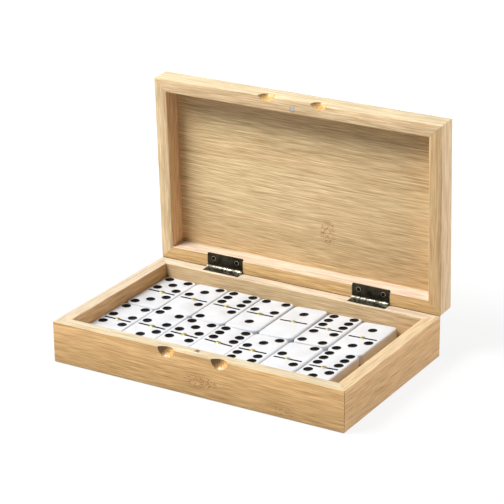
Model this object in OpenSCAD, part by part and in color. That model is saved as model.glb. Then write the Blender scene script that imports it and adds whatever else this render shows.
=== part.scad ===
// Bamboo box for a set of 28 dominoes, with a hinged lid standing open.
// Millimetres. The tray's underside is centred on the origin, +X runs along the
// long side, the open front faces -Y and +Z is up.

/* [Box] */
// Outside length of the box
box_w = 175; // [170:1:200]
// Outside depth of the box, front to back
box_d = 107; // [104:1:130]
// Height of the tray
tray_h = 23.5; // [20:0.5:40]
// Height of the lid
lid_h = 13; // [10:0.5:25]
// Thickness of the four boards round the tray and the lid
wall = 7.4; // [6.8:0.1:8.4]
// Radius of the rims' edges
rim_edge = 0.3; // [0.2:0.05:1]
// Radius of the outer bottom edge of the tray and the outer top edge of the lid
outer_edge = 1.2; // [0.4:0.1:2]
// Radius of the upright outside corners
box_corner = 0.5; // [0.3:0.1:3]

/* [Panels] */
// Thickness of the tray's bottom panel
base_t = 3; // [2:0.2:5]
// Thickness of the lid's panel
lid_t = 2.2; // [1.6:0.2:4]
// How far each panel is let into the boards
panel_lap = 3.4; // [2:0.2:4.4]

/* [Opening] */
// Angle that the lid opens before its hinges stop it
open_angle = 87.7; // [80:0.1:95]
// Gap between the two rims when the lid is closed
rim_gap = 0.2; // [0.1:0.05:1.4]
// Distance of the hinge pins behind the back face
pin_back = 0; // [0:0.1:0.8]

/* [Hinges] */
// Distance of each hinge from the middle of the box
hinge_x = 45.8; // [30:0.2:60]
// Length of a hinge
hinge_len = 22.8; // [18:0.2:30]
// Length of the middle knuckle, which belongs to the lid's leaf
knuckle_len = 11.4; // [7:0.2:13]
// Thickness of a leaf
leaf_t = 1; // [0.7:0.1:1.2]
// Gap between the closed leaves
leaf_gap = 0.2; // [0.1:0.05:0.3]
// Reach of the tray's leaf in front of the pin
tray_reach = 5.6; // [5.4:0.1:7]
// Reach of the lid's leaf from the pin
lid_reach = 8.4; // [7.2:0.1:8.8]
// Radius of the knuckles
barrel_r = 1.7; // [1.4:0.1:1.9]
// Radius of a hinge pin
pin_r = 0.7; // [0.5:0.05:0.9]
// Reach of the stop flange behind the pin
stop_reach = 3.4; // [3:0.1:4.5]
// Thickness of the stop flange
stop_t = 0.8; // [0.6:0.1:1]

/* [Screws] */
// Distance of a hinge's screws from its middle
screw_x = 7.5; // [6:0.1:8.5]
// Distance of the tray's screws from the pin
tray_screw_y = 3.9; // [3.7:0.1:4.2]
// Distance of the lid's screws from the pin
lid_screw_y = 5.5; // [4:0.1:6]
// Radius of a screw's head
screw_head_r = 1.5; // [1.2:0.05:1.7]
// Radius of a screw's shank
screw_r = 0.8; // [0.5:0.05:1]
// Length of a screw
screw_len = 5.5; // [4:0.1:7]

/* [Catch] */
// Place of the catch along the front, from the middle of the box
catch_x = -0.6; // [-3:0.1:3]
// Diameter of the two magnets
magnet_d = 3; // [2:0.1:4]
// Thickness of a magnet
magnet_t = 3; // [2:0.1:5]
// Wood left between a magnet and the inside of the board
magnet_land = 0.9; // [0.4:0.1:1]
// Distance of each finger scoop from the catch
scoop_x = 16; // [12:0.5:30]
// Radius of the ball that cuts the finger scoops
scoop_r = 6; // [5:0.1:7]
// Distance of that ball's centre in front of the box
scoop_out = 3.3; // [2.6:0.1:4]

/* [Tiles] */
// Free room in the tray on the right of the tiles
side_room = 12.75; // [8:0.05:16]
// Free room in front of the tiles
front_room = 6.1; // [4:0.1:8]
// Gap between the tiles and the back board
back_gap = 0.3; // [0.2:0.05:1]
// Gap between two columns of tiles
column_gap = 0.3; // [0.2:0.05:0.5]
// Gap between the two rows of tiles
row_gap = 1.4; // [0.4:0.1:2]
// Thickness of a tile
tile_t = 6; // [5:0.1:6.8]
// Radius of a tile's corners
tile_corner = 3; // [2:0.1:3.6]
// Radius of a tile's edges
tile_edge = 1; // [0.5:0.1:1.5]
// Diameter of a pip
pip_d = 4.8; // [3:0.1:4.9]
// Depth of a pip
pip_depth = 0.5; // [0.3:0.05:0.8]
// Distance of the outer pips from a tile's long side
pip_side = 4.25; // [3.6:0.05:5]
// Distance of the last pips from a tile's end
pip_end = 3.5; // [3.3:0.05:4.5]
// Distance of the first pips from the dividing line
pip_start = 5.05; // [4:0.05:5.5]
// Distance of the dividing line's ends from a tile's long sides
line_end = 2; // [1.5:0.1:4]
// Width of the dividing line
line_w = 1.1; // [0.6:0.1:1.6]
// Depth of the dividing line
line_depth = 0.4; // [0.2:0.05:0.6]
// Radius of the spinner's head
spinner_r = 1.6; // [1.2:0.1:2]
// Height of the spinner's head
spinner_h = 0.6; // [0.4:0.05:0.8]
// Radius of the spinner's shank
spinner_shank = 0.8; // [0.5:0.05:1]

/* [Hidden] */
$fn = 48;
eps = 0.01;
// Clearance between pieces that are glued, screwed or set into each other
seat = 0.05;
// Clearance of a knuckle on its pin, and between two knuckles
pin_play = 0.05;
knuckle_play = 0.15;
// Clearance round the barrel of a hinge
barrel_play = 0.3;
// Step from a knuckle's ends to the arms that hold it
arm_step = 0.1;

rim_z = tray_h;
pin_y = box_d / 2 + pin_back;
pin_z = rim_z + rim_gap / 2;
lid_top_z = rim_z + rim_gap + lid_h;
inner_w = box_w - 2 * wall;
inner_d = box_d - 2 * wall;
magnet_y = wall - magnet_land - magnet_d / 2;
magnet_proud = rim_gap / 2 - seat;
stop_angle = open_angle / 2;

// Seven columns and two rows of tiles fill the tray up to its free room
columns = 7;
tile_w = (inner_w - seat - side_room - (columns - 1) * column_gap) / columns;
tile_l = (inner_d - back_gap - row_gap - front_room) / 2;
tile_pitch = tile_w + column_gap;
first_x = -inner_w / 2 + seat + tile_w / 2;
back_y = inner_d / 2 - back_gap - tile_l / 2;
front_y = back_y - tile_l - row_gap;
upper_z = base_t + tile_t + spinner_h + 2 * seat;
pip_x = tile_w / 2 - pip_side;
pip_row = (tile_l / 2 - pip_end - pip_start) / 2;
pip_mid = pip_start + pip_row;

// Pips of the tiles on top, back half then front half: the back row from the left, then the front row
upper_tiles = [
    [5, 3], [3, 2], [6, 2], [4, 1], [1, 0], [6, 4], [1, 3],
    [4, 4], [4, 3], [5, 4], [6, 0], [3, 6], [2, 2], [6, 5]
];
// The other half of the set lies under them
lower_tiles = [
    [0, 0], [2, 0], [3, 0], [4, 0], [5, 0], [1, 1], [2, 1],
    [5, 1], [6, 1], [4, 2], [5, 2], [3, 3], [5, 5], [6, 6]
];
// The upper tiles rock on the spinners below: degrees that the right edge, then the back end, is up
lean_side = [-0.6, 0.6, 0, 1.4, 2.8, 1.8, 2.4, 0, -0.6, -1.2, -2.2, 1.2, 2, 2.6];
lean_end = [0, 0.2, 0.3, 0, 0, -0.3, 0, 0.2, 1, 0.3, 0, 0.3, 0, 0.2];
// How far each upper tile has slid towards the back, as a share of the gap between the rows
slide_back = [0, 0, 0, 0, 0, 0, -0.6, 0, 0.86, 0, 0, 0, 0, 0];

function tile_name(t) = str("tile_", t[0], "_", t[1]);
function pips(n) = concat(
    n % 2 == 1 ? [[0, 0]] : [],
    n > 1 ? [[1, 1], [-1, -1]] : [],
    n > 3 ? [[-1, 1], [1, -1]] : [],
    n == 6 ? [[-1, 0], [1, 0]] : []
);

// Rectangle with its low corner at the origin and round corners
module soft_rect(w, h, r) {
    translate([r, 0]) square([w - 2 * r, h]);
    translate([0, r]) square([w, h - 2 * r]);
    for (x = [r, w - r], y = [r, h - r]) translate([x, y]) circle(r);
}

// Slab with round corners and round edges, lying on the XY plane and centred on Z
module soft_slab(w, l, t, corner, edge) {
    intersection() {
        translate([-w / 2, -l / 2, 0]) linear_extrude(t) soft_rect(w, l, corner);
        translate([-w / 2, l / 2, 0]) rotate([90, 0, 0]) linear_extrude(l) soft_rect(w, t, edge);
        translate([-w / 2, -l / 2, 0]) rotate([90, 0, 90]) linear_extrude(w) soft_rect(l, t, edge);
    }
}

// Section of a board, with its rounder outer edge at the origin
module board_end(h) {
    intersection() {
        soft_rect(wall, h, rim_edge);
        soft_rect(2 * wall, 2 * h, outer_edge);
    }
}

// One mitred board along the front of a frame of the given height. The panel's rebate is at z = 0.
module board(len, depth, h, panel_t) {
    difference() {
        intersection() {
            translate([-len / 2, -depth / 2, 0]) rotate([90, 0, 90]) linear_extrude(len) board_end(h);
            linear_extrude(h) polygon([
                [-len / 2, -depth / 2], [len / 2, -depth / 2],
                [len / 2 - wall, wall - depth / 2], [wall - len / 2, wall - depth / 2]
            ]);
            translate([-len / 2, -depth / 2, 0]) linear_extrude(h) soft_rect(len, depth, box_corner);
        }
        translate([0, 0, -eps]) panel(len, depth, panel_t + eps);
    }
}

// Panel that lies in the rebates of a frame
module panel(len, depth, t) {
    w = len - 2 * (wall - panel_lap);
    d = depth - 2 * (wall - panel_lap);
    translate([-w / 2, -d / 2, 0]) cube([w, d, t]);
}

module front_board(h, t) { board(box_w, box_d, h, t); }
module back_board(h, t) { rotate([0, 0, 180]) board(box_w, box_d, h, t); }
module left_board(h, t) { rotate([0, 0, -90]) board(box_d, box_w, h, t); }
module right_board(h, t) { rotate([0, 0, 90]) board(box_d, box_w, h, t); }

// Turns a part of the tray's form over, so that its rim faces down as the closed lid's does
module as_lid() { translate([0, 0, lid_top_z]) mirror([0, 0, 1]) children(); }

// Swings what is drawn in the closed lid's place up about the hinge pins
module swung() {
    translate([0, pin_y, pin_z]) rotate([-open_angle, 0, 0]) translate([0, -pin_y, -pin_z]) children();
}

// Two finger scoops in the rim that lies at the given height
module scoops(z) {
    for (side = [-1, 1])
        translate([catch_x + side * scoop_x, -box_d / 2 - scoop_out, z]) sphere(scoop_r);
}

// Magnet, or its pocket, standing down from the rim at z = 0
module magnet_rod(r, t) {
    translate([catch_x, -box_d / 2 + magnet_y, -t]) cylinder(r = r, h = t + magnet_proud);
}

// Hinges are drawn about their pin, with the tray's leaf below the plane of the pin
module at_hinges() {
    for (side = [-1, 1]) translate([side * hinge_x, pin_y, pin_z]) children();
}
module flipped() { mirror([0, 0, 1]) children(); }

// Stretches of a hinge's length, from and to: the two outer knuckles, and the middle one
function outer_knuckles() = [
    [-hinge_len / 2, -knuckle_len / 2 - knuckle_play], [knuckle_len / 2 + knuckle_play, hinge_len / 2]
];
function middle_knuckle() = [[-knuckle_len / 2, knuckle_len / 2]];

module leaf(reach, screw_y, knuckles) {
    clear_r = barrel_r + barrel_play;
    mid_r = (pin_r + pin_play + barrel_r) / 2;
    leaf_z = -leaf_gap / 2 - leaf_t;
    difference() {
        union() {
            translate([-hinge_len / 2, -reach, leaf_z]) cube([hinge_len, reach - clear_r, leaf_t]);
            rotate([-stop_angle, 0, 0])
                translate([-hinge_len / 2, clear_r, -stop_t - eps])
                cube([hinge_len, stop_reach - clear_r, stop_t]);
            for (k = knuckles) {
                translate([k[0], 0, 0]) rotate([0, 90, 0]) cylinder(r = barrel_r, h = k[1] - k[0]);
                arm_x = k[0] + arm_step;
                arm_w = k[1] - k[0] - 2 * arm_step;
                translate([arm_x, -clear_r - eps, leaf_z]) cube([arm_w, clear_r, leaf_t]);
                rotate([-stop_angle, 0, 0]) translate([arm_x, mid_r, -stop_t - eps])
                    cube([arm_w, clear_r, stop_t]);
            }
        }
        translate([-hinge_len, 0, 0]) rotate([0, 90, 0])
            cylinder(r = pin_r + pin_play, h = 2 * hinge_len);
        screw_places(screw_y) screw_form(seat);
    }
}

module screw_places(screw_y) {
    for (side = [-1, 1]) translate([side * screw_x, -screw_y, -leaf_gap / 2]) children();
}

// Countersunk screw standing down from z = 0, grown all round by the given clearance
module screw_form(more) {
    cone = screw_head_r - screw_r;
    tip = 2 * screw_r;
    rotate_extrude() polygon([
        [0, more], [screw_head_r + more, more], [screw_head_r + more, 0], [screw_r + more, -cone],
        [screw_r + more, tip - screw_len], [0, -screw_len - more]
    ]);
}

module screw() {
    slot_w = 0.35 * screw_r;
    slot_l = 1.1 * screw_head_r;
    difference() {
        screw_form(0);
        for (turn = [45, 135]) rotate([0, 0, turn])
            translate([-slot_l / 2, -slot_w / 2, -screw_r / 2]) cube([slot_l, slot_w, screw_r]);
    }
}

// Room for a hinge's leaf, barrel and screws in the back board of the tray
module hinge_rebate(reach, screw_y) {
    len = hinge_len + 4 * seat;
    clear_r = barrel_r + barrel_play;
    translate([-len / 2, -reach - seat, -leaf_gap / 2 - leaf_t]) cube([len, reach + box_corner, 2 * leaf_t]);
    translate([-len / 2, 0, 0]) rotate([0, 90, 0]) cylinder(r = clear_r, h = len);
    screw_places(screw_y) screw_form(seat);
}

module base_front_rail() {
    color("#dcb47c") difference() {
        front_board(tray_h, base_t);
        scoops(rim_z);
        translate([0, 0, rim_z]) magnet_rod(magnet_d / 2 + seat, magnet_t);
    }
}

module base_back_rail() {
    color("#d8ae76") difference() {
        back_board(tray_h, base_t);
        at_hinges() hinge_rebate(tray_reach, tray_screw_y);
    }
}

module base_left_rail() { color("#d2a66c") left_board(tray_h, base_t); }
module base_right_rail() { color("#d2a66c") right_board(tray_h, base_t); }
module base_panel() { color("#c89c62") panel(box_w, box_d, base_t); }

module base_magnet() { color("silver") translate([0, 0, rim_z]) magnet_rod(magnet_d / 2, magnet_t); }

module hinge_base_leaf(side) {
    color("#4a3f2e") translate([side * hinge_x, pin_y, pin_z])
        leaf(tray_reach, tray_screw_y, outer_knuckles());
}
module hinge_pin(side) {
    color("#7d6a45") translate([side * hinge_x - hinge_len / 2, pin_y, pin_z]) rotate([0, 90, 0])
        cylinder(r = pin_r, h = hinge_len);
}
module base_hinge_screws() { color("#5a4c36") at_hinges() screw_places(tray_screw_y) screw(); }

module lid_front_rail() {
    color("#dcb47c") swung() difference() {
        as_lid() front_board(lid_h, lid_t);
        scoops(rim_z + rim_gap);
        translate([0, 0, rim_z + rim_gap]) flipped() magnet_rod(magnet_d / 2 + seat, magnet_t);
    }
}

module lid_back_rail() {
    color("#d8ae76") swung() difference() {
        as_lid() back_board(lid_h, lid_t);
        at_hinges() flipped() hinge_rebate(lid_reach, lid_screw_y);
    }
}

module lid_left_rail() { color("#d2a66c") swung() as_lid() left_board(lid_h, lid_t); }
module lid_right_rail() { color("#d2a66c") swung() as_lid() right_board(lid_h, lid_t); }
module lid_panel() { color("#c89c62") swung() as_lid() panel(box_w, box_d, lid_t); }

module lid_magnet() {
    color("silver") swung() translate([0, 0, rim_z + rim_gap]) flipped() magnet_rod(magnet_d / 2, magnet_t);
}

module hinge_lid_leaf(side) {
    color("#4a3f2e") swung() translate([side * hinge_x, pin_y, pin_z]) flipped()
        leaf(lid_reach, lid_screw_y, middle_knuckle());
}
module lid_hinge_screws() {
    color("#5a4c36") swung() at_hinges() flipped() screw_places(lid_screw_y) screw();
}

// Brass pin through the middle of a tile, with a domed head above z = 0
module spinner() {
    dome_r = (pow(spinner_r, 2) + pow(spinner_h, 2)) / (2 * spinner_h);
    color("#b9a25c") {
        intersection() {
            translate([0, 0, spinner_h - dome_r]) sphere(dome_r);
            cylinder(r = spinner_r, h = spinner_h);
        }
        translate([0, 0, -tile_t / 2]) cylinder(r = spinner_shank, h = tile_t / 2 + eps);
    }
}

// Tile lying on z = 0 with its middle on Z. The first half's pips are towards +Y.
module tile(halves) {
    ball_r = (pow(pip_d / 2, 2) + pow(pip_depth, 2)) / (2 * pip_depth);
    color("#f4f4f0") difference() {
        soft_slab(tile_w, tile_l, tile_t, tile_corner, tile_edge);
        for (half = [0, 1], p = pips(halves[half]))
            translate([p[0] * pip_x, (1 - 2 * half) * pip_mid + p[1] * pip_row, tile_t - pip_depth + ball_r])
                sphere(ball_r);
        translate([line_end - tile_w / 2, -line_w / 2, tile_t - line_depth])
            cube([tile_w - 2 * line_end, line_w, tile_t]);
        translate([0, 0, tile_t / 2]) cylinder(r = spinner_shank + seat, h = tile_t);
    }
    translate([0, 0, tile_t + seat]) spinner();
}

function column_x(i) = first_x + (i % columns) * tile_pitch;
function row_y(i) = i < columns ? back_y : front_y;

module lower_tile(i) { translate([column_x(i), row_y(i), base_t]) tile(lower_tiles[i]); }

module upper_tile(i) {
    translate([column_x(i), row_y(i) + slide_back[i] * row_gap, upper_z])
        rotate([lean_end[i], -lean_side[i], 0]) tile(upper_tiles[i]);
}

base_front_rail();
base_back_rail();
base_left_rail();
base_right_rail();
base_panel();
base_magnet();
hinge_base_leaf(-1);  // left_hinge_base_leaf
hinge_base_leaf(1);  // right_hinge_base_leaf
hinge_pin(-1);  // left_hinge_pin
hinge_pin(1);  // right_hinge_pin
base_hinge_screws();
lid_front_rail();
lid_back_rail();
lid_left_rail();
lid_right_rail();
lid_panel();
lid_magnet();
hinge_lid_leaf(-1);  // left_hinge_lid_leaf
hinge_lid_leaf(1);  // right_hinge_lid_leaf
lid_hinge_screws();
for (i = [0 : len(upper_tiles) - 1])
    upper_tile(i);
for (i = [0 : len(lower_tiles) - 1])
    lower_tile(i);
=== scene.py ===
import math

import bpy
from mathutils import Euler, Matrix, Vector


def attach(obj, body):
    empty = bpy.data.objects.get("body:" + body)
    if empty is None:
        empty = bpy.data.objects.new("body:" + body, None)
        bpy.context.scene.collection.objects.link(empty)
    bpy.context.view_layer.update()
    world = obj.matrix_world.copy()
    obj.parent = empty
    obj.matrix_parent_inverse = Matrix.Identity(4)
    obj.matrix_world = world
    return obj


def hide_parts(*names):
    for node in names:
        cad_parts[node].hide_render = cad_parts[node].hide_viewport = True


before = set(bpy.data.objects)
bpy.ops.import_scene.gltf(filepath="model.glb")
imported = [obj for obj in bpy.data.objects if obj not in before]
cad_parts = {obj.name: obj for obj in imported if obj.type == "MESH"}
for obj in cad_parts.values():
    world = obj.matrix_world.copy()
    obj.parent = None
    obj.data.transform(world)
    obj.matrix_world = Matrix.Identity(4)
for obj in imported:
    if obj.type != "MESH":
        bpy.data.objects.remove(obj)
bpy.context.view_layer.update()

mm = 0.001
touch = 0.01  # mm, points nearer than this are taken as one


# Modelling by hand, one step each

def clearSelection():
    if bpy.context.object and bpy.context.object.mode != "OBJECT":
        bpy.ops.object.mode_set(mode="OBJECT")
    bpy.ops.object.select_all(action="DESELECT")


def pickOnly(piece):
    clearSelection()
    piece.select_set(True)
    bpy.context.view_layer.objects.active = piece


def settle(piece, place=None):  # bakes the object's place into its mesh
    pickOnly(piece)
    if place is not None:
        piece.matrix_world = place
    bpy.ops.object.transform_apply(location=True, rotation=True, scale=True)
    return piece


def block(name, low, high):  # sizes in mm
    clearSelection()
    middle = [(a + b) / 2 * mm for a, b in zip(low, high)]
    size = [(b - a) * mm for a, b in zip(low, high)]
    bpy.ops.mesh.primitive_cube_add(size=1, location=middle, scale=size)
    piece = bpy.context.object
    piece.name = name
    return settle(piece)


def rod(name, radius, low, high, sides=48, along="X"):  # a cylinder between two points on an axis, mm
    clearSelection()
    turn = {"X": (0, math.pi / 2, 0), "Y": (math.pi / 2, 0, 0), "Z": (0, 0, 0)}[along]
    middle = [(a + b) / 2 * mm for a, b in zip(low, high)]
    length = max(b - a for a, b in zip(low, high))
    bpy.ops.mesh.primitive_cylinder_add(vertices=sides, radius=radius * mm, depth=length * mm,
                                        location=middle, rotation=turn)
    piece = bpy.context.object
    piece.name = name
    return settle(piece)


def ball(name, radius, middle, segments=48, rings=32):
    clearSelection()
    bpy.ops.mesh.primitive_uv_sphere_add(segments=segments, ring_count=rings, radius=radius * mm,
                                         location=[v * mm for v in middle])
    piece = bpy.context.object
    piece.name = name
    return settle(piece)


def pickParts(piece, kind, test):  # selects the edges or faces that a test names, and goes to edit mode
    pickOnly(piece)
    mesh = piece.data
    for group in (mesh.vertices, mesh.edges, mesh.polygons):
        group.foreach_set("select", [False] * len(group))
    if kind == "EDGE":
        bpy.context.tool_settings.mesh_select_mode = (False, True, False)
        for edge in mesh.edges:
            a, b = (mesh.vertices[i].co / mm for i in edge.vertices)
            if test(a, b):
                edge.select = True
                for i in edge.vertices:
                    mesh.vertices[i].select = True
    else:
        bpy.context.tool_settings.mesh_select_mode = (False, False, True)
        for face in mesh.polygons:
            if test(face.center / mm, face.normal):
                face.select = True
                for i in face.vertices:
                    mesh.vertices[i].select = True
    bpy.ops.object.mode_set(mode="EDIT")


def roundEdges(piece, width, steps, test, material=-1):
    pickParts(piece, "EDGE", test)
    bpy.ops.mesh.bevel(offset=width * mm, segments=steps, affect="EDGES", material=material)
    bpy.ops.object.mode_set(mode="OBJECT")


def paintFaces(piece, slot, test):  # gives the faces that a test names another of the piece's materials
    pickParts(piece, "FACE", test)
    piece.active_material_index = slot
    bpy.ops.object.material_slot_assign()
    bpy.ops.object.mode_set(mode="OBJECT")


def sliceOff(piece, point, normal):  # takes off what lies on the normal's side, and closes the cut
    pickOnly(piece)
    bpy.ops.object.mode_set(mode="EDIT")
    bpy.ops.mesh.select_all(action="SELECT")
    bpy.ops.mesh.bisect(plane_co=[v * mm for v in point], plane_no=normal, use_fill=True, clear_outer=True)
    bpy.ops.object.mode_set(mode="OBJECT")


def combine(piece, other, how="DIFFERENCE"):  # Boolean with a helper piece, which is used up
    pickOnly(piece)
    tool = piece.modifiers.new("combine", "BOOLEAN")
    tool.operation = how
    tool.solver = "EXACT"
    tool.object = other
    if how == "DIFFERENCE":
        tool.material_mode = "TRANSFER"
    bpy.ops.object.modifier_apply(modifier=tool.name)
    bpy.data.objects.remove(other, do_unlink=True)


def joined(pieces, name):
    clearSelection()
    for piece in pieces:
        piece.select_set(True)
    bpy.context.view_layer.objects.active = pieces[0]
    if len(pieces) > 1:
        bpy.ops.object.join()
    piece = bpy.context.object
    piece.name = name
    return piece


def copyOf(piece, name):
    twin = piece.copy()
    twin.data = piece.data.copy()
    twin.name = name
    bpy.context.scene.collection.objects.link(twin)
    return twin


def smooth(piece, angle=32):
    pickOnly(piece)
    bpy.ops.object.shade_smooth_by_angle(angle=math.radians(angle))


def dress(piece, *materials):
    for material in materials:
        piece.data.materials.append(material)
    return piece


def finishPiece(piece, body, node, name, angle=32):
    smooth(piece, angle)
    piece.name = name
    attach(piece, body)
    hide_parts(node)
    return piece


# Materials

def toLinear(code):  # "#rrggbb" as written in a picture, to Blender's linear colour
    parts = [int(code[i:i + 2], 16) / 255 for i in (1, 3, 5)]
    return [v / 12.92 if v <= 0.04045 else ((v + 0.055) / 1.055) ** 2.4 for v in parts] + [1]


def addNode(tree, kind, settings=None, links=None):
    # Settings and links go by property name, input name or input number. A linked node gives its live output.
    # By number, a Map Range leads 1 and 2 to 3 and 4, and a Mix of colours goes from 6 to 7 by the share in 0
    node = tree.nodes.new(kind)
    for key, value in (settings or {}).items():
        if isinstance(key, str) and hasattr(node, key):
            setattr(node, key, value)
        else:
            node.inputs[key].default_value = value
    for key, source in (links or {}).items():
        if isinstance(source, bpy.types.Node):
            source = next(socket for socket in source.outputs if socket.enabled)
        tree.links.new(source, node.inputs[key])
    return node


def startMaterial(name):
    material = bpy.data.materials.new(name)
    material.use_nodes = True
    tree = material.node_tree
    tree.nodes.remove(tree.nodes["Principled BSDF"])
    return material, tree


def finishMaterial(tree, settings, links):
    shader = addNode(tree, "ShaderNodeBsdfPrincipled", settings, links)
    tree.links.new(shader.outputs[0], tree.nodes["Material Output"].inputs["Surface"])


def shaded(code, shares):  # a colour with each channel taken down or up
    return [min(a * b, 1) for a, b in zip(toLinear(code), shares)] + [1]


bamboo = {
    "strip": 17.0,  # mm, height of the strips that each board is glued up from
    "stripWeight": 0.12,  # of each strip's own tone in the grain
    "stripShift": (0.9, 0.02, 0.02),  # m, the most that one strip's grain is shifted
    "seedShift": (0.31, 0.0021, 0.0037),  # m, from one board's grain to the next one's
    "layers": {  # length and width of a streak in mm, detail, and its weight in the grain
        "wave": (90, 9, 2, 0.3),
        "bundle": (60, 2.0, 2, 0.25),
        "fibre": (17, 0.56, 2, 2.1),
    },
    "dark": (0.6, 0.5, 0.4),  # a dark and a pale streak, as shares of the board's tone
    "pale": (1.3, 1.34, 1.38),
    "blush": "#d9ab84",
    "blushShare": 0.22,  # at most, in the broad drifts
    "fleck": "#8c5a28",
    "fleckShare": 0.22,
    "flecks": (230, 2600, 2600),  # to a metre, along and across the board
    "hatches": (700, 950, 950),  # to a metre, in a ring's patch
    "rough": (0.44, 0.58),
    "relief": 0.06,  # mm
}


def bambooBoard(name, turn, place, seed, tone, paintedLightTones=(), marks=(), strip=None):
    # Laminated moso bamboo, planed, sanded and sealed with a satin lacquer: fine straight fibres along
    # each board with darker bundles, a slight step of tone from strip to strip, sparse dark flecks, and
    # the hatched patch where the cane had its ring. turn and place lay the grain along the board. The face
    # tones are painted light and shade on faces that look a given way, such as the rims, painted paler where
    # the light falls strongest and the lacquer shows a white sheen.
    material, tree = startMaterial(name)
    coordinates = addNode(tree, "ShaderNodeTexCoord")
    board = addNode(tree, "ShaderNodeMapping", {"Rotation": turn, "Location": place},
                    {"Vector": coordinates.outputs["Object"]})
    moved = addNode(tree, "ShaderNodeMapping", {"Location": [v * seed for v in bamboo["seedShift"]]},
                    {"Vector": board})
    # Each strip has a number of its own, which shifts its grain and its tone
    height = (strip or bamboo["strip"]) * mm
    wholeBoard = 9  # m, more than any board's length
    snapped = addNode(tree, "ShaderNodeVectorMath", {"operation": "SNAP", 1: (wholeBoard, height, height)},
                      {0: moved})
    stripNumber = addNode(tree, "ShaderNodeTexWhiteNoise", {"noise_dimensions": "3D"}, {"Vector": snapped})
    shifted = addNode(tree, "ShaderNodeVectorMath", {"operation": "MULTIPLY_ADD", 1: bamboo["stripShift"]},
                      {0: stripNumber.outputs["Color"], 2: moved})
    # The grain is 0.5 on average, below it dark and above it pale
    weights = sum(layer[3] for layer in bamboo["layers"].values()) + bamboo["stripWeight"]
    grain = addNode(tree, "ShaderNodeMath", {"operation": "MULTIPLY_ADD", 1: bamboo["stripWeight"],
                                             2: 0.5 - weights / 2}, {0: stripNumber.outputs["Value"]})
    noises = {}
    for layer, (length, width, detail, weight) in bamboo["layers"].items():
        drawn = addNode(tree, "ShaderNodeMapping", {"Scale": [1 / (v * mm) for v in (length, width, width)]},
                        {"Vector": shifted})
        noises[layer] = addNode(tree, "ShaderNodeTexNoise", {"Scale": 1, "Detail": detail, "Roughness": 0.62},
                                {"Vector": drawn})
        grain = addNode(tree, "ShaderNodeMath", {"operation": "MULTIPLY_ADD", 1: weight},
                        {0: noises[layer], 2: grain})
    wood = addNode(tree, "ShaderNodeMix", {"data_type": "RGBA", 6: shaded(tone, bamboo["dark"]),
                                           7: shaded(tone, bamboo["pale"])}, {0: grain})
    # Broad drifts between straw yellow and a faint pink
    drift = addNode(tree, "ShaderNodeMapRange", {1: 0.4, 2: 0.68, 3: 0, 4: bamboo["blushShare"]},
                    {0: noises["wave"]})
    wood = addNode(tree, "ShaderNodeMix", {"data_type": "RGBA", 7: toLinear(bamboo["blush"])},
                   {0: drift, 6: wood})
    # Flecks where a vessel is cut open, about 0.4 mm wide and 4 mm long
    dashes = addNode(tree, "ShaderNodeMapping", {"Scale": bamboo["flecks"]}, {"Vector": shifted})
    dashes = addNode(tree, "ShaderNodeTexNoise", {"Scale": 1, "Detail": 1}, {"Vector": dashes})
    dashes = addNode(tree, "ShaderNodeMapRange", {1: 0.66, 2: 0.78, 3: 0, 4: bamboo["fleckShare"]},
                     {0: dashes})
    wood = addNode(tree, "ShaderNodeMix", {"data_type": "RGBA", 7: toLinear(bamboo["fleck"])},
                   {0: dashes, 6: wood})
    # A ring's patch: a blush that fades out at its edge, under broken dark hatches
    for middle, radii, blush, dark in marks:  # mm, in the board's own axes, and the two shares
        spot = addNode(tree, "ShaderNodeMapping", {"Scale": [1 / (r * mm) for r in radii],
                                                   "Location": [-c / r for c, r in zip(middle, radii)]},
                       {"Vector": board})
        spot = addNode(tree, "ShaderNodeVectorMath", {"operation": "LENGTH"}, {0: spot})
        spot = addNode(tree, "ShaderNodeMapRange",
                       {"interpolation_type": "SMOOTHSTEP", 1: 0.65, 2: 1, 3: 1, 4: 0},
                       {0: spot.outputs["Value"]})
        tint = addNode(tree, "ShaderNodeMath", {"operation": "MULTIPLY", 1: blush}, {0: spot})
        wood = addNode(tree, "ShaderNodeMix", {"data_type": "RGBA", 7: toLinear(bamboo["blush"])},
                       {0: tint, 6: wood})
        hatch = addNode(tree, "ShaderNodeMapping", {"Scale": bamboo["hatches"]}, {"Vector": board})
        hatch = addNode(tree, "ShaderNodeTexNoise", {"Scale": 1, "Detail": 3, "Distortion": 1.6},
                        {"Vector": hatch})
        hatch = addNode(tree, "ShaderNodeMapRange", {1: 0.5, 2: 0.62, 3: 0, 4: dark}, {0: hatch})
        hatch = addNode(tree, "ShaderNodeMath", {"operation": "MULTIPLY"}, {0: spot, 1: hatch})
        wood = addNode(tree, "ShaderNodeMix", {"data_type": "RGBA", 7: toLinear(bamboo["fleck"])},
                       {0: hatch, 6: wood})
    # Painted light and shade: each face tone is laid over the faces that look its way
    for direction, paintedLightTone in paintedLightTones:
        paintedLightShare = addNode(tree, "ShaderNodeVectorMath", {"operation": "DOT_PRODUCT", 1: direction},
                         {0: coordinates.outputs["Normal"]})
        paintedLightShare = addNode(tree, "ShaderNodeMapRange", {1: 0.6, 2: 0.85, 3: 0, 4: 1},
                         {0: paintedLightShare.outputs["Value"]})
        ratio = [a / b for a, b in zip(toLinear(paintedLightTone), toLinear(tone))]
        wood = addNode(tree, "ShaderNodeMix", {"data_type": "RGBA", "blend_type": "MULTIPLY", 7: ratio},
                       {0: paintedLightShare, 6: wood})
    smoothest, roughest = bamboo["rough"]
    rough = addNode(tree, "ShaderNodeMapRange", {1: 0.3, 2: 0.7, 3: smoothest, 4: roughest},
                    {0: noises["bundle"]})
    bump = addNode(tree, "ShaderNodeBump", {"Strength": 0.5, "Distance": bamboo["relief"] * mm},
                   {"Height": grain})
    finishMaterial(tree, {"IOR": 1.4}, {"Base Color": wood, "Roughness": rough, "Normal": bump})
    return material


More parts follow.
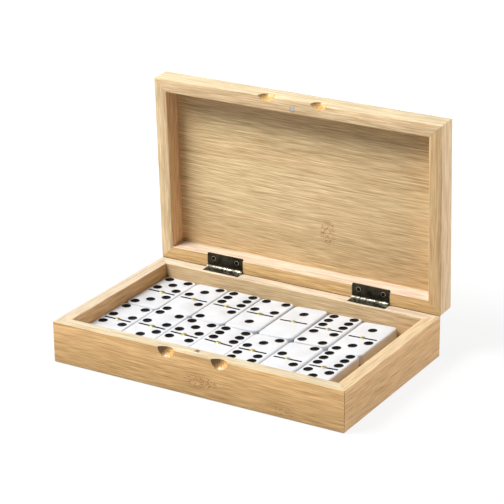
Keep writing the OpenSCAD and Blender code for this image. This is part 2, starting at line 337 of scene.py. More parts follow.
cutFinish = {
    "specks": 2200,  # to a metre
    "shadedSide": (0.8, -0.45, -0.4),  # the way a wall looks that takes the painted shade, away from the lamps on the left
    "paintedShadeShare": 0.85,
    "relief": 0.08,  # mm
}


def cutBamboo(name, dark, pale, paintedShade):
    # Bamboo cut across and burnished by a round cutter: the fibres' open ends as fine dark specks, and
    # painted
    # shade: the wall that looks away from the lamps painted a dark brown.
    material, tree = startMaterial(name)
    coordinates = addNode(tree, "ShaderNodeTexCoord")
    specks = addNode(tree, "ShaderNodeTexNoise",
                     {"Scale": cutFinish["specks"], "Detail": 2, "Roughness": 0.7},
                     {"Vector": coordinates.outputs["Object"]})
    amount = addNode(tree, "ShaderNodeMapRange", {1: 0.4, 2: 0.62, 3: 0, 4: 1}, {0: specks})
    wood = addNode(tree, "ShaderNodeMix", {"data_type": "RGBA", 6: toLinear(dark), 7: toLinear(pale)},
                   {0: amount})
    # Painted shade, laid on the walls that look away from the lamps
    shadedSide = addNode(tree, "ShaderNodeVectorMath", {"operation": "DOT_PRODUCT", 1: cutFinish["shadedSide"]},
                    {0: coordinates.outputs["Normal"]})
    shadedSide = addNode(tree, "ShaderNodeMapRange", {1: 0, 2: 0.55, 3: 0, 4: cutFinish["paintedShadeShare"]},
                    {0: shadedSide.outputs["Value"]})
    wood = addNode(tree, "ShaderNodeMix", {"data_type": "RGBA", 7: toLinear(paintedShade)}, {0: shadedSide, 6: wood})
    bump = addNode(tree, "ShaderNodeBump", {"Strength": 0.6, "Distance": cutFinish["relief"] * mm},
                   {"Height": specks})
    finishMaterial(tree, {"IOR": 1.46, "Roughness": 0.34}, {"Base Color": wood, "Normal": bump})
    return material


print("materials")

tileFinish = {
    "white": "#cbcdd1",
    "cloud": "#c4c7cb",
    "rough": (0.46, 0.6),
    "depth": 1.5,  # mm that light goes into the resin
    "paint": "#030406",
    "paintWorn": "#0b0c10",
    "paintRough": (0.24, 0.4),
}


def mouldedResin():
    # White urea resin, moulded and tumble polished: an even soft gloss with very faint clouds and scuffs.
    material, tree = startMaterial("polishedUreaResin")
    coordinates = addNode(tree, "ShaderNodeTexCoord")
    clouds = addNode(tree, "ShaderNodeTexNoise", {"Scale": 90, "Detail": 4},
                     {"Vector": coordinates.outputs["Object"]})
    amount = addNode(tree, "ShaderNodeMapRange", {1: 0.35, 2: 0.65}, {0: clouds})
    colour = addNode(tree, "ShaderNodeMix", {"data_type": "RGBA", 6: toLinear(tileFinish["cloud"]),
                                             7: toLinear(tileFinish["white"])}, {0: amount})
    scuffs = addNode(tree, "ShaderNodeTexNoise", {"Scale": 700, "Detail": 3, "Distortion": 2},
                     {"Vector": coordinates.outputs["Object"]})
    smoothest, roughest = tileFinish["rough"]
    rough = addNode(tree, "ShaderNodeMapRange", {1: 0.3, 2: 0.7, 3: smoothest, 4: roughest}, {0: scuffs})
    bump = addNode(tree, "ShaderNodeBump", {"Strength": 0.1, "Distance": 0.02 * mm}, {"Height": scuffs})
    finishMaterial(tree, {"IOR": 1.3, "Subsurface Weight": 0.5, "Subsurface Radius": (1, 1, 1),
                          "Subsurface Scale": tileFinish["depth"] * mm},
                   {"Base Color": colour, "Roughness": rough, "Normal": bump})
    return material


def pipPaint():
    # Black enamel run into the moulded pips: a hard gloss, a little thinner and bluer in places.
    material, tree = startMaterial("blackPipEnamel")
    coordinates = addNode(tree, "ShaderNodeTexCoord")
    pools = addNode(tree, "ShaderNodeTexNoise", {"Scale": 500, "Detail": 3},
                    {"Vector": coordinates.outputs["Object"]})
    amount = addNode(tree, "ShaderNodeMapRange", {1: 0.4, 2: 0.75}, {0: pools})
    colour = addNode(tree, "ShaderNodeMix", {"data_type": "RGBA", 6: toLinear(tileFinish["paint"]),
                                             7: toLinear(tileFinish["paintWorn"])}, {0: amount})
    smoothest, roughest = tileFinish["paintRough"]
    rough = addNode(tree, "ShaderNodeMapRange", {1: 0.3, 2: 0.7, 3: smoothest, 4: roughest}, {0: pools})
    finishMaterial(tree, {"IOR": 1.16}, {"Base Color": colour, "Roughness": rough})
    return material


def metalFinish(name, dark, bright, patch, rough, bumpDepth, cover=(0.42, 0.66)):
    # patch is the size of a worn patch in mm, rough is (rubbed, dull), and cover is the part of the noise
    # over which dark turns to bright
    material, tree = startMaterial(name)
    coordinates = addNode(tree, "ShaderNodeTexCoord")
    wear = addNode(tree, "ShaderNodeTexNoise", {"Scale": 1 / (patch * mm), "Detail": 5, "Roughness": 0.62},
                   {"Vector": coordinates.outputs["Object"]})
    amount = addNode(tree, "ShaderNodeMapRange", {1: cover[0], 2: cover[1]}, {0: wear})
    colour = addNode(tree, "ShaderNodeMix", {"data_type": "RGBA", 6: toLinear(dark), 7: toLinear(bright)},
                     {0: amount})
    dullness = addNode(tree, "ShaderNodeMapRange", {1: 0.3, 2: 0.7, 3: rough[1], 4: rough[0]}, {0: wear})
    bump = addNode(tree, "ShaderNodeBump", {"Strength": 0.5, "Distance": bumpDepth * mm}, {"Height": wear})
    finishMaterial(tree, {"Metallic": 1}, {"Base Color": colour, "Roughness": dullness, "Normal": bump})
    return material


resin = mouldedResin()
enamel = pipPaint()
# Turned brass, lightly tarnished: soft yellow with olive patches
brass = metalFinish("turnedBrass", "#9c9458", "#d8cf9a", 1.4, (0.25, 0.42), 0.01)
# Steel plated and blackened to antique bronze, then tumbled: near black, rubbed olive grey on the flats
bronze = metalFinish("antiqueBronze", "#211f1b", "#504b3c", 5, (0.36, 0.52), 0.02, (0.35, 0.7))
# The same finish where it is rubbed through, on the barrels
rubbedBronze = metalFinish("rubbedAntiqueBronze", "#4a463c", "#a8a392", 2.0, (0.2, 0.34), 0.01)
screwMetal = metalFinish("antiqueScrewHead", "#14120f", "#35312a", 0.8, (0.3, 0.5), 0.01)
# The screws' chamfered rims, where the plating is worn to the steel
wornRim = metalFinish("wornScrewRim", "#b5af9e", "#e6e3d9", 1.0, (0.24, 0.36), 0.01)
pinMetal = metalFinish("wornBronzeWire", "#5a5040", "#c2b592", 1.2, (0.2, 0.36), 0.01)
# Nickel plated neodymium, ground flat
nickel = metalFinish("nickelPlate", "#8f9094", "#c9cacd", 1.6, (0.22, 0.38), 0.01)
# The boards' finger scoops, their walls away from the lamps in painted shade, and painted shade on the lid's
# hinge edge, where it meets the tray
scoopWood = cutBamboo("burnishedBambooScoop", "#a0681f", "#f2cd84", "#41260b")
paintedJointShade = cutBamboo("paintedHingeJointShade", "#1a0f08", "#38200f", "#1a0f08")

# The tray's and the lid's frames, in mm

# board and panel are thicknesses, lap is how far the panel reaches into a board, and joint is what each board
# stops short of the mitre. rimEdge and outerEdge are rounded edges, and corner is cut off the mitre's tip
tray = {"width": 175, "depth": 107, "height": 23.5, "board": 7.4, "rimEdge": 0.35, "outerEdge": 1.2,
        "corner": 0.5, "panel": 3.0, "lap": 3.4, "joint": 0.03}
lid = dict(tray, height=13, panel=2.2)
hingeEdge = {"trayRound": 0.12, "lidRound": 0.6, "lidLip": 0.5}  # the back edges that meet on the open box
hingePlace = {"pinY": 53.5, "pinZ": 23.6, "x": 45.8, "gap": 0.2}  # gap is between the two rims
openAngle = math.radians(87.7)
lidTop = tray["height"] + hingePlace["gap"] + lid["height"]
pin = Vector((0, hingePlace["pinY"], hingePlace["pinZ"])) * mm
swing = Matrix.Translation(pin) @ Matrix.Rotation(-openAngle, 4, "X") @ Matrix.Translation(-pin)
lidDown = Matrix.Translation((0, 0, lidTop * mm)) @ Matrix.Rotation(math.pi, 4, "X")
# Two scoops, spread to both sides of the catch. out is how far in front of the board the cutter's middle is
scoop = {"catchX": -0.6, "spread": 16, "radius": 6, "out": 3.3, "edge": 0.2}
# proud is how far a magnet stands out of the rim, and hole is how deep its hole is
magnet = {"radius": 1.5, "length": 3, "y": -48.5, "proud": 0.05, "edge": 0.25, "play": 0.05, "hole": 3.1}
# With the lid open, the tray's rims look up, as do the lid's front and its back board's inside. The lid's
# rims look forward, and the inside of its left board looks to the right
up, forward, inward = (0, 0, 1), (0, -1, 0), (1, 0, 0)
# The face tones are painted light and shade: faces that look up are painted paler, where the light falls
# strongest and the lacquer shows a white sheen, the inside of the lid's left board, which lies in shade, is
# painted lighter, and the lid's right board is painted a little darker on its rims
trayLooks = {
    "front": {"seed": 1, "tone": "#e1b97f", "paintedLightTones": [(up, "#c1b496")],
              "marks": [((4, -53.5, 9), (12, 4, 4.5), 0.05, 0.7), ((53, -53.5, 4), (9, 4, 3), 0.05, 0.5)]},
    "back": {"seed": 2, "tone": "#c2aa83", "paintedLightTones": [(up, "#d2c6b1")]},
    "left": {"seed": 3, "tone": "#d1aa78", "paintedLightTones": [(up, "#c3b499")]},
    "right": {"seed": 4, "tone": "#d0a874", "paintedLightTones": [(up, "#c5af89")]},
}
lidLooks = {
    "front": {"seed": 6, "tone": "#d7bd95", "paintedLightTones": [(up, "#c9bb99")]},
    "back": {"seed": 7, "tone": "#cfaf7b", "paintedLightTones": [(up, "#d5c4ae")]},
    "left": {"seed": 8, "tone": "#dcc39b", "paintedLightTones": [(inward, "#f2cc9e")]},
    "right": {"seed": 9, "tone": "#e1c59e", "paintedLightTones": [(forward, "#ddbe8e")], "strip": 7.3},
}


def woodFor(name, look, isLid, isShort):
    # The lid's pieces are modelled open, so their grain is turned back about the pins to the closed lid
    turn = Euler((openAngle if isLid else 0, 0, math.pi / 2 if isShort else 0))
    place = (0, 0, 0)
    if isLid:
        place = Euler((0, 0, turn.z)).to_matrix() @ pin - turn.to_matrix() @ pin
    return bambooBoard(name, turn, place, **look)


def mitredBoard(sizes, length, spread, materials, edgeRound, lip=0):
    # A board along the front, mm, its outer edge down at z = 0 and its rim up. lip draws the rim's edge out
    wall, height = sizes["board"], sizes["height"]
    end, front = length / 2, -spread / 2

    def isLong(a, b, y, z):
        onLine = all(abs(p.y - y) < touch and abs(p.z - z) < touch for p in (a, b))
        return onLine and abs(a.x - b.x) > length / 2

    piece = dress(block("board", (-end, front, 0), (end, front + wall, height)), *materials)
    if lip:
        pickParts(piece, "EDGE", lambda a, b: isLong(a, b, front, height))
        bpy.ops.transform.translate(value=(0, -lip * mm, 0))
        bpy.ops.object.mode_set(mode="OBJECT")
    roundEdges(piece, sizes["outerEdge"], 5, lambda a, b: isLong(a, b, front, 0))
    # With a lip, the rounded rim edge takes the second material: painted shade for the crease of the hinge
    # joint
    roundEdges(piece, edgeRound, 3, lambda a, b: isLong(a, b, front - lip, height), 1 if lip else -1)
    roundEdges(piece, sizes["rimEdge"], 3,
               lambda a, b: isLong(a, b, front + wall, height) or isLong(a, b, front + wall, 0))
    for side in (-1, 1):
        sliceOff(piece, (side * (end - sizes["joint"]), front, 0), (side, 1, 0))
        nip = sizes["corner"] * (math.sqrt(2) - 1) / math.sqrt(2)
        sliceOff(piece, (side * (end - nip), front + nip, 0), (side, -1, 0))
    # Rebate for the panel, open below
    reachX = sizes["width"] / 2 - wall + sizes["lap"]
    reachY = sizes["depth"] / 2 - wall + sizes["lap"]
    if spread != sizes["depth"]:
        reachX, reachY = reachY, reachX
    combine(piece, block("rebate", (-reachX, -reachY, -5), (reachX, reachY, sizes["panel"])))
    return piece


def turned(degrees):
    return Matrix.Rotation(math.radians(degrees), 4, "Z")


def cutScoops(piece, rim):
    for side in (-1, 1):
        middle = Vector((scoop["catchX"] + side * scoop["spread"], -tray["depth"] / 2 - scoop["out"], rim))
        combine(piece, dress(ball("scoop", scoop["radius"], middle, 64, 48), scoopWood))
        pickParts(piece, "FACE", lambda p, n: abs((p - middle).length - scoop["radius"]) < 0.1
                  and n.dot(middle - p) > scoop["radius"] * 0.9)
        bpy.ops.mesh.region_to_loop()
        bpy.ops.mesh.bevel(offset=scoop["edge"] * mm, segments=2, affect="EDGES", loop_slide=False)
        bpy.ops.object.mode_set(mode="OBJECT")


def cutMagnetHole(piece, rim, way):  # way is 1 for the tray, whose rim is up, and -1 for the lid
    low, high = sorted((rim - way * magnet["hole"], rim + way * 2))
    combine(piece, rod("hole", magnet["radius"] + magnet["play"], (scoop["catchX"], magnet["y"], low),
                       (scoop["catchX"], magnet["y"], high), 40, "Z"))


print("boards")
# barrel, bore and pin are radii. gap is between the two leaves' faces, and Reach and Screw are from the pin
leaf = {"length": 22.8, "knuckle": 11.4, "knucklePlay": 0.15, "thickness": 1.0, "gap": 0.2, "barrel": 1.7,
        "barrelPlay": 0.3, "bore": 0.75, "pin": 0.7, "stopReach": 3.4, "stopThickness": 0.8, "screwX": 7.5,
        "corner": 0.5, "edge": 0.12, "stopEdge": 0.15, "curlEdge": 0.14, "pinEdge": 0.18, "endPlay": 0.1,
        "bedPlay": 0.05, "trayReach": 5.6, "lidReach": 8.4, "trayScrew": 3.9, "lidScrew": 5.5}
# head and shank are radii, rim is the head's upright edge, and edge is the width of its chamfer. sink is how
# much wider the leaf's countersink is
screw = {"head": 1.5, "shank": 0.8, "rim": 0.12, "edge": 0.32, "straight": 2.9, "tip": 1.6, "point": 0.12,
         "slotWidth": 0.36, "slotLength": 2.0, "slotDepth": 0.45, "sink": 0.18, "play": 0.06,
         "pilotPlay": 0.05, "pilotDepth": 6}


def hingeRebate(x, reach, way):
    # Room for a leaf and its barrel, open to the rim and the back. way is 1 for the tray and -1 for the lid
    y, z = hingePlace["pinY"], hingePlace["pinZ"]
    half = leaf["length"] / 2 + leaf["endPlay"]
    low, high = sorted((z - way * (leaf["gap"] / 2 + leaf["thickness"]), z + way * 0.9))
    bed = block("bed", (x - half, y - reach - leaf["bedPlay"], low), (x + half, y + 0.45, high))
    ends = half + 0.001  # just past the bed's, so that no faces coincide
    trough = rod("trough", leaf["barrel"] + leaf["barrelPlay"], (x - ends, y, z), (x + ends, y, z))
    combine(bed, trough, "UNION")
    return bed


def boardSet(sizes, looks, isLid):
    # The degrees that each board is turned from the front on the lid, which lies upside down, and on the tray
    plan = {"front": (180, 0), "back": (0, 180), "left": (-90, -90), "right": (90, 90)}
    half = "lid" if isLid else "tray"
    rim = tray["height"] + (hingePlace["gap"] if isLid else 0)
    way = -1 if isLid else 1
    for side, (lidTurn, trayTurn) in plan.items():
        isShort = side in ("left", "right")
        length, spread = (sizes["depth"], sizes["width"]) if isShort else (sizes["width"], sizes["depth"])
        wood = woodFor("bamboo" + half.capitalize() + side.capitalize(), looks[side], isLid, isShort)
        edgeRound, lip = sizes["rimEdge"], 0
        if side == "back":
            edgeRound = hingeEdge["lidRound" if isLid else "trayRound"]
            lip = hingeEdge["lidLip"] if isLid else 0
        piece = mitredBoard(sizes, length, spread, [wood, paintedJointShade] if lip else [wood], edgeRound, lip)
        settle(piece, lidDown @ turned(lidTurn) if isLid else turned(trayTurn))
        if side == "front":
            cutScoops(piece, rim)
            cutMagnetHole(piece, rim, way)
        if side == "back":
            reach, screwY = leaf[half + "Reach"], leaf[half + "Screw"]
            for hingeX in (-hingePlace["x"], hingePlace["x"]):
                combine(piece, hingeRebate(hingeX, reach, way))
                for screwX in (-leaf["screwX"], leaf["screwX"]):
                    x, y = hingeX + screwX, hingePlace["pinY"] - screwY
                    low, high = sorted((rim, rim - way * screw["pilotDepth"]))
                    radius = screw["shank"] + screw["pilotPlay"]
                    combine(piece, rod("pilot", radius, (x, y, low), (x, y, high), 24, "Z"))
        if isLid:
            settle(piece, swing)
        finishPiece(piece, half, ("lid_" if isLid else "base_") + side + "_rail",
                    half + side.capitalize() + "Board")


boardSet(tray, trayLooks, isLid=False)
boardSet(lid, lidLooks, isLid=True)

# Panels

print("panels")
panelLooks = {
    "tray": {"seed": 11, "tone": "#cbb589", "strip": 40},
    "lid": {"seed": 12, "tone": "#dfc799", "marks": [((14, 24, 34.5), (5.5, 9.5, 4), 0.2, 0.75)]},
}


def panelPiece(sizes, wood):
    slack = 0.06  # mm, the panel's play in its rebate
    halfX = sizes["width"] / 2 - sizes["board"] + sizes["lap"] - slack
    halfY = sizes["depth"] / 2 - sizes["board"] + sizes["lap"] - slack
    piece = dress(block("panel", (-halfX, -halfY, 0), (halfX, halfY, sizes["panel"])), wood)
    roundEdges(piece, 0.15, 2, lambda a, b: True)
    return piece


trayWood = woodFor("bambooTrayPanel", panelLooks["tray"], isLid=False, isShort=False)
finishPiece(panelPiece(tray, trayWood), "tray", "base_panel", "trayPanel")
lidWood = woodFor("bambooLidPanel", panelLooks["lid"], isLid=True, isShort=False)
lidPanel = settle(panelPiece(lid, lidWood), swing @ lidDown)
finishPiece(lidPanel, "lid", "lid_panel", "lidPanel")

# Magnets

print("magnets")


def magnetPiece(rim, way):
    low, high = sorted((rim - way * magnet["length"], rim + way * magnet["proud"]))
    x, y = scoop["catchX"], magnet["y"]
    piece = dress(rod("magnet", magnet["radius"], (x, y, low), (x, y, high), 40, "Z"), nickel)
    roundEdges(piece, magnet["edge"], 3, lambda a, b: abs(a.z - b.z) < touch)
    return piece


finishPiece(magnetPiece(tray["height"], 1), "tray", "base_magnet", "trayMagnet")
finishPiece(settle(magnetPiece(tray["height"] + hingePlace["gap"], -1), swing), "lid", "lid_magnet",
            "lidMagnet")

# Hinges

print("hinges")


def hingeLeaf(reach, screwY, knuckles):
    # Built about the pin, the leaf's face just under the plane of the pin. The stop behind the barrel, and
    # the arms that carry it, are turned back by half the lid's swing, so the two leaves' stops meet there
    half, top = leaf["length"] / 2, -leaf["gap"] / 2
    bottom = top - leaf["thickness"]
    clear = leaf["barrel"] + leaf["barrelPlay"]
    plate = dress(block("plate", (-half, -reach, bottom), (half, -clear, top)), bronze, rubbedBronze)
    roundEdges(plate, leaf["corner"], 4, lambda a, b: abs(a.z - b.z) > 0.5 and a.y < -reach + touch)
    roundEdges(plate, leaf["edge"], 2, lambda a, b: abs(a.z - top) < touch and abs(b.z - top) < touch
               and min(a.y, b.y) < -clear - touch)
    stop = block("stop", (-half, clear, -leaf["stopThickness"] - touch), (half, leaf["stopReach"], -touch))
    roundEdges(stop, leaf["stopEdge"], 2, lambda a, b: min(a.y, b.y) > leaf["stopReach"] - touch)
    halfSwing = Matrix.Rotation(-openAngle / 2, 4, "X")
    arms = []
    for low, high in knuckles:
        curl = rod("curl", leaf["barrel"], (low, 0, 0), (high, 0, 0), 48)
        roundEdges(curl, leaf["curlEdge"], 2, lambda a, b: abs(a.x - b.x) < touch)
        arms.append(curl)
        arms.append(block("neck", (low, -clear - touch, bottom), (high, -touch, top)))
        arm = block("arm", (low, 1.2, -leaf["stopThickness"] - touch), (high, clear + 0.6, -touch))
        arms.append(settle(arm, halfSwing))
    settle(stop, halfSwing)
    for part in [stop] + arms:
        combine(plate, part, "UNION")
    combine(plate, rod("bore", leaf["bore"], (-half - 2, 0, 0), (half + 2, 0, 0), 40))
    for side in (-1, 1):
        x = side * leaf["screwX"]
        combine(plate, settle(countersink(), Matrix.Translation(Vector((x, -screwY, top)) * mm)))
    # The barrel's outside is rubbed
    paintFaces(plate, 1, lambda p, n: leaf["barrel"] - 0.3 < math.hypot(p.y, p.z) < leaf["barrel"] + touch
               and n.y * p.y + n.z * p.z > 0)
    return plate


def countersink():
    # A cone a little wider than the head, its foot 0.56 as wide as its top, over a hole for the shank
    deep = screw["head"] - screw["shank"]
    piece = rod("sink", screw["head"] + screw["sink"], (0, 0, -deep), (0, 0, 0.5), 40, "Z")
    pickParts(piece, "FACE", lambda p, n: n.z < -0.9)
    bpy.ops.transform.resize(value=(0.56, 0.56, 1), center_override=(0, 0, 0))
    bpy.ops.object.mode_set(mode="OBJECT")
    shank = rod("shank", screw["shank"] + screw["play"], (0, 0, -3), (0, 0, 0.4), 40, "Z")
    combine(piece, shank, "UNION")
    return piece


def woodScrew():
    # Countersunk head with a chamfered rim and a cross recess, and a shank that tapers at its tip
    piece = dress(rod("screw", screw["head"], (0, 0, -screw["rim"]), (0, 0, 0), 40, "Z"), screwMetal, wornRim)
    pickParts(piece, "FACE", lambda p, n: n.z > 0.9)
    bpy.ops.transform.resize(value=(1 - screw["edge"] / screw["head"],) * 2 + (1,), center_override=(0, 0, 0))
    bpy.ops.object.mode_set(mode="OBJECT")
    paintFaces(piece, 1, lambda p, n: 0.1 < n.z < 0.99)
    pickParts(piece, "FACE", lambda p, n: n.z < -0.9)
    # The cone, the straight shank and the tip: how far down, and how wide the new end is beside the last
    cone = (screw["head"] - screw["shank"], screw["shank"] / screw["head"])
    for down, share in (cone, (screw["straight"], 1), (screw["tip"], screw["point"])):
        bpy.ops.mesh.extrude_region_move(TRANSFORM_OT_translate={"value": (0, 0, -down * mm)})
        bpy.ops.transform.resize(value=(share, share, 1), center_override=(0, 0, 0))
    bpy.ops.object.mode_set(mode="OBJECT")
    for turn in (0, 90):
        halfLength, halfWidth = screw["slotLength"] / 2, screw["slotWidth"] / 2
        slot = block("slot", (-halfLength, -halfWidth, -screw["slotDepth"]), (halfLength, halfWidth, 1))
        pickParts(slot, "FACE", lambda p, n: n.z < -0.9)  # its floor is shorter and narrower
        bpy.ops.transform.resize(value=(0.5, 0.8, 1), center_override=(0, 0, 0))
        bpy.ops.object.mode_set(mode="OBJECT")
        combine(piece, settle(slot, turned(turn + 45)))
    return piece


# The tray's leaf has the two outer knuckles, and the lid's the one between them
end, middle = leaf["length"] / 2, leaf["knuckle"] / 2
outerKnuckles = [(-end, -middle - leaf["knucklePlay"]), (middle + leaf["knucklePlay"], end)]
trayLeaf = hingeLeaf(leaf["trayReach"], leaf["trayScrew"], outerKnuckles)
lidLeaf = hingeLeaf(leaf["lidReach"], leaf["lidScrew"], [(-middle, middle)])
hingePin = dress(rod("pin", leaf["pin"], (-end, 0, 0), (end, 0, 0), 32), pinMetal)
roundEdges(hingePin, leaf["pinEdge"], 3, lambda a, b: abs(a.x - b.x) < touch)
oneScrew = woodScrew()
overTurn = Matrix.Rotation(math.pi, 4, "Y")  # the lid's leaves face the tray's
trayScrews, lidScrews = [], []
for side, word in ((-1, "left"), (1, "right")):
    there = Matrix.Translation(Vector((side * hingePlace["x"], hingePlace["pinY"], hingePlace["pinZ"])) * mm)
    lower = settle(copyOf(trayLeaf, "lower"), there)
    finishPiece(lower, "tray", word + "_hinge_base_leaf", word + "HingeTrayLeaf")
    upper = settle(copyOf(lidLeaf, "upper"), swing @ there @ overTurn)
    finishPiece(upper, "lid", word + "_hinge_lid_leaf", word + "HingeLidLeaf")
    wire = settle(copyOf(hingePin, "wire"), there)
    finishPiece(wire, "tray", word + "_hinge_pin", word + "HingePin")
    for end in (-1, 1):  # each screw's cross is left at an angle of its own
        spot = Matrix.Translation(Vector((end * leaf["screwX"], -leaf["trayScrew"], -leaf["gap"] / 2)) * mm)
        place = there @ spot @ turned(17 * end + 40 * side)
        trayScrews.append(settle(copyOf(oneScrew, "screw"), place))
        spot = Matrix.Translation(Vector((end * leaf["screwX"], -leaf["lidScrew"], -leaf["gap"] / 2)) * mm)
        place = swing @ there @ overTurn @ spot @ turned(31 * end + 25 * side)
        lidScrews.append(settle(copyOf(oneScrew, "screw"), place))
for spare in (trayLeaf, lidLeaf, hingePin, oneScrew):
    bpy.data.objects.remove(spare, do_unlink=True)
finishPiece(joined(trayScrews, "trayScrews"), "tray", "base_hinge_screws", "trayHingeScrews")
finishPiece(joined(lidScrews, "lidScrews"), "lid", "lid_hinge_screws", "lidHingeScrews")

# Domino tiles, in mm

print("tiles")
# pipSide, pipEnd and pipStart run from the tile's side, its end and its middle to the outer pips' middles.
# spinner is the dome's radius and dome its height, and seat is the play that keeps stacked pieces apart
domino = {"width": 20.8, "length": 42.2, "thickness": 6, "corner": 3, "edge": 1,
          "columnGap": 0.3, "rowGap": 1.4, "backGap": 0.3,
          "pipRadius": 2.6, "pipDepth": 0.5, "pipSide": 4.25, "pipEnd": 3.5, "pipStart": 5.05,
          "lineWidth": 1.4, "lineEnd": 2, "lineDepth": 0.4, "lineRound": 0.3, "spinner": 1.6, "dome": 0.6,
          "shank": 0.8, "shankLength": 3, "hole": 0.85, "seat": 0.05}
# The tiles from the left, the back row first, each with the pips on its far half and on its near half
upperTiles = [(5, 3), (3, 2), (6, 2), (4, 1), (1, 0), (6, 4), (1, 3),
              (4, 4), (4, 3), (5, 4), (6, 0), (3, 6), (2, 2), (6, 5)]
lowerTiles = [(0, 0), (2, 0), (3, 0), (4, 0), (5, 0), (1, 1), (2, 1),
              (5, 1), (6, 1), (4, 2), (5, 2), (3, 3), (5, 5), (6, 6)]
# Degrees that an upper tile's right side and far end stand up, and its slide back as a share of the rows' gap
leanSide = [-0.6, 0.6, 0, 1.4, 2.8, 1.8, 2.4, 0, -0.6, -1.2, -2.2, 1.2, 2, 2.6]
leanEnd = [0, 0.2, 0.3, 0, 0, -0.3, 0, 0.2, 1, 0.3, 0, 0.3, 0, 0.2]
slideBack = [0, 0, 0, 0, 0, 0, -0.6, 0, 0.86, 0, 0, 0, 0, 0]
# A half's pips, as steps to the right and to the far end
spots = {0: [], 1: [(0, 0)], 2: [(1, 1), (-1, -1)], 3: [(0, 0), (1, 1), (-1, -1)],
         4: [(1, 1), (-1, -1), (-1, 1), (1, -1)], 5: [(0, 0), (1, 1), (-1, -1), (-1, 1), (1, -1)],
         6: [(1, 1), (-1, -1), (-1, 1), (1, -1), (-1, 0), (1, 0)]}


def tileSlab():
    x, y = domino["width"] / 2, domino["length"] / 2
    piece = dress(block("slab", (-x, -y, 0), (x, y, domino["thickness"])), resin)
    roundEdges(piece, domino["corner"], 8, lambda a, b: abs(a.z - b.z) > 1)
    roundEdges(piece, domino["edge"], 5, lambda a, b: abs(a.z - b.z) < touch)
    return piece


def pipCutter():  # a shallow bowl of a large ball, cut off just above the tile's face
    radius, depth = domino["pipRadius"], domino["pipDepth"]
    curve = (radius ** 2 + depth ** 2) / (2 * depth)
    piece = ball("pip", curve, (0, 0, domino["thickness"] - depth + curve), 36, 64)
    sliceOff(piece, (0, 0, domino["thickness"] + 0.25), (0, 0, 1))
    return dress(piece, enamel)


def lineCutter():
    end, side = domino["width"] / 2 - domino["lineEnd"], domino["lineWidth"] / 2
    top = domino["thickness"]
    piece = block("line", (-end, -side, top - domino["lineDepth"]), (end, side, top + 1))
    roundEdges(piece, domino["lineRound"], 3, lambda a, b: a.z < top and b.z < top)
    return dress(piece, enamel)


def spinnerRivet():
    # Brass rivet: a low dome and its shank
    top = domino["thickness"] + domino["seat"]
    radius, height = domino["spinner"], domino["dome"]
    curve = (radius ** 2 + height ** 2) / (2 * height)
    dome = ball("dome", curve, (0, 0, top + height - curve), 32, 48)
    sliceOff(dome, (0, 0, top), (0, 0, -1))
    shank = rod("shank", domino["shank"], (0, 0, top - domino["shankLength"]), (0, 0, top + 0.1), 24, "Z")
    combine(dome, shank, "UNION")
    return dress(dome, brass)


slab, onePip, oneLine, rivet = tileSlab(), pipCutter(), lineCutter(), spinnerRivet()
pitch = domino["width"] + domino["columnGap"]
firstX = -(tray["width"] / 2 - tray["board"]) + domino["seat"] + domino["width"] / 2
backRow = tray["depth"] / 2 - tray["board"] - domino["backGap"] - domino["length"] / 2
frontRow = backRow - domino["length"] - domino["rowGap"]
pipX = domino["width"] / 2 - domino["pipSide"]
pipRow = (domino["length"] / 2 - domino["pipEnd"] - domino["pipStart"]) / 2
pipMiddle = domino["pipStart"] + pipRow


def tilePiece(halves, index, isUpper):
    piece = copyOf(slab, "tile")
    cutters = [copyOf(oneLine, "line")]
    for half, count in enumerate(halves):
        for x, y in spots[count]:
            cutter = copyOf(onePip, "pip")
            place = Vector((x * pipX, (1 - 2 * half) * pipMiddle + y * pipRow, 0)) * mm
            cutters.append(settle(cutter, Matrix.Translation(place)))
    combine(piece, joined(cutters, "cutters"))
    low, high = domino["thickness"] - domino["shankLength"], domino["thickness"] + 2
    combine(piece, rod("hole", domino["hole"], (0, 0, low), (0, 0, high), 24, "Z"))
    # The face round the pips is cut into triangles while it lies flat, so it stays whole when the tile leans
    pickParts(piece, "FACE", lambda p, n: n.z > 0.99 and p.z > domino["thickness"] - touch)
    bpy.ops.mesh.quads_convert_to_tris(ngon_method="BEAUTY")
    bpy.ops.object.mode_set(mode="OBJECT")
    piece = joined([piece, copyOf(rivet, "rivet")], "tile")
    columns = 7
    x = firstX + (index % columns) * pitch
    y = backRow if index < columns else frontRow
    z = tray["panel"]
    lean = Matrix.Identity(4)
    if isUpper:
        y += slideBack[index] * domino["rowGap"]
        z += domino["thickness"] + domino["dome"] + 2 * domino["seat"]
        lean = (Matrix.Rotation(math.radians(-leanSide[index]), 4, "Y")
                @ Matrix.Rotation(math.radians(leanEnd[index]), 4, "X"))
    settle(piece, Matrix.Translation(Vector((x, y, z)) * mm) @ lean)
    node = "tile_%d_%d" % halves
    return finishPiece(piece, node, node, "domino_%d_%d" % halves, 35)


for index, halves in enumerate(upperTiles):
    tilePiece(halves, index, isUpper=True)
for index, halves in enumerate(lowerTiles):
    tilePiece(halves, index, isUpper=False)
for spare in (slab, onePip, oneLine, rivet):
    bpy.data.objects.remove(spare, do_unlink=True)

# Studio

print("studio")
# Each lamp's direction as degrees left of the front and up, its size and distance in m, and its power in W
lamps = {
    "keyLamp": (42, 56.6, 0.51, 1.27, 19.8),
    "leftLamp": (80, 38, 0.8, 1.4, 11.3),
    "backLamp": (-115, 20, 1.0, 1.4, 15.5),
}
lampAim = Vector((0, 0, 0.05))  # m, low in the middle of the box
softLight = 0.065  # strength of the light from all round
# The paper as it is seen, near the box and away from it (in m), and as it lights the box
paper = {"near": 0.86, "away": 1.0, "fadeFrom": 0.16, "fadeTo": 0.34, "shade": "#5f5f5f", "bounce": "#979797"}
clearSelection()
bpy.ops.mesh.primitive_plane_add(size=8, location=(0, 0, -0.0001))  # a tenth of a millimetre under the box
floor = bpy.context.object
floor.name = "studioFloor"
settle(floor)
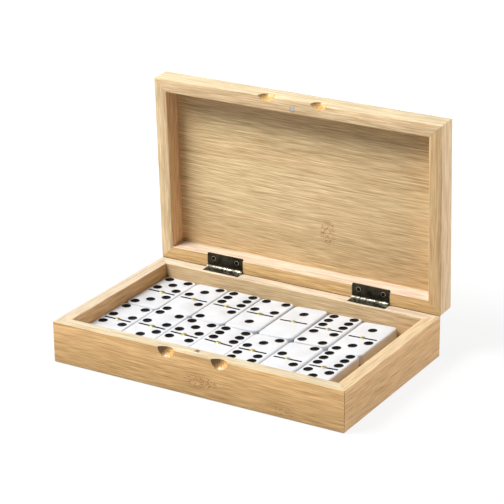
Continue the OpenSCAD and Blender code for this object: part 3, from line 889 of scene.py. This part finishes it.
# White studio paper: seen white with the box's soft shadow, while it throws back less light than that
floorPaint, tree = startMaterial("whiteStudioPaper")
rays = addNode(tree, "ShaderNodeLightPath")
direct = addNode(tree, "ShaderNodeMath", {"operation": "MAXIMUM"}, {0: rays.outputs["Is Camera Ray"],
                                                                    1: rays.outputs["Is Glossy Ray"]})
bounce = addNode(tree, "ShaderNodeBsdfDiffuse", {"Color": toLinear(paper["bounce"])})
shade = addNode(tree, "ShaderNodeBsdfDiffuse", {"Color": toLinear(paper["shade"])})
away = addNode(tree, "ShaderNodeVectorMath", {"operation": "LENGTH"},
               {0: addNode(tree, "ShaderNodeTexCoord").outputs["Object"]})
away = addNode(tree, "ShaderNodeMapRange", {"interpolation_type": "SMOOTHSTEP", 1: paper["fadeFrom"],
                                            2: paper["fadeTo"], 3: paper["near"], 4: paper["away"]},
               {0: away.outputs["Value"]})
glow = addNode(tree, "ShaderNodeEmission", {"Color": (1, 1, 1, 1)}, {"Strength": away})
both = addNode(tree, "ShaderNodeAddShader", links={0: shade, 1: glow})
seen = addNode(tree, "ShaderNodeMixShader", links={0: direct, 1: bounce, 2: both})
tree.links.new(seen.outputs[0], tree.nodes["Material Output"].inputs["Surface"])
dress(floor, floorPaint)

world = bpy.data.worlds.new("studioWorld")
bpy.context.scene.world = world
world.use_nodes = True
tree = world.node_tree
soft = tree.nodes["Background"]
soft.inputs["Color"].default_value = (1, 1, 1, 1)
soft.inputs["Strength"].default_value = softLight
white = addNode(tree, "ShaderNodeBackground", {"Color": (1, 1, 1, 1), "Strength": 1.0})
rays = addNode(tree, "ShaderNodeLightPath")
direct = addNode(tree, "ShaderNodeMath", {"operation": "MAXIMUM"}, {0: rays.outputs["Is Camera Ray"],
                                                                    1: rays.outputs["Is Glossy Ray"]})
seen = addNode(tree, "ShaderNodeMixShader", links={0: direct, 1: soft, 2: white})
tree.links.new(seen.outputs[0], tree.nodes["World Output"].inputs["Surface"])

for name, (left, rise, size, distance, power) in lamps.items():
    data = bpy.data.lights.new(name, "AREA")
    data.size = size
    data.energy = power
    lamp = bpy.data.objects.new(name, data)
    bpy.context.scene.collection.objects.link(lamp)
    left, rise = math.radians(left), math.radians(rise)
    away = Vector((-math.sin(left) * math.cos(rise), -math.cos(left) * math.cos(rise), math.sin(rise)))
    lamp.location = away * distance
    lamp.rotation_euler = (lampAim - lamp.location).to_track_quat("-Z", "Y").to_euler()

# Camera, at the photograph's angle

print("camera")
# Angles in degrees, places in m, and the focal length in pixels of a photograph of 504 by 504
view = {"turn": 30.759, "height": 21.421, "roll": -0.448, "distance": 1.121475,
        "aim": (0.003508, 0, 0.062178), "focalPixels": 2150.906, "photoPixels": 504, "sensor": 36}
turn, height, roll = (math.radians(view[key]) for key in ("turn", "height", "roll"))
back = Vector((math.sin(turn) * math.cos(height), -math.cos(turn) * math.cos(height), math.sin(height)))
levelRight = (-back).cross(Vector((0, 0, 1))).normalized()
levelUp = levelRight.cross(-back)
rolledRight = math.cos(roll) * levelRight + math.sin(roll) * levelUp
rolledUp = -math.sin(roll) * levelRight + math.cos(roll) * levelUp
eye = Vector(view["aim"]) + back * view["distance"]
camera = bpy.data.cameras.new("photoCamera")
camera.sensor_width = view["sensor"]
camera.lens = view["focalPixels"] / view["photoPixels"] * view["sensor"]
camera.clip_end = 30
cameraObject = bpy.data.objects.new("photoCamera", camera)
bpy.context.scene.collection.objects.link(cameraObject)
rows = [[rolledRight[i], rolledUp[i], back[i], eye[i]] for i in range(3)]
cameraObject.matrix_world = Matrix(rows + [[0, 0, 0, 1]])
bpy.context.scene.camera = cameraObject
bpy.context.scene.view_settings.view_transform = "Standard"

print("done")
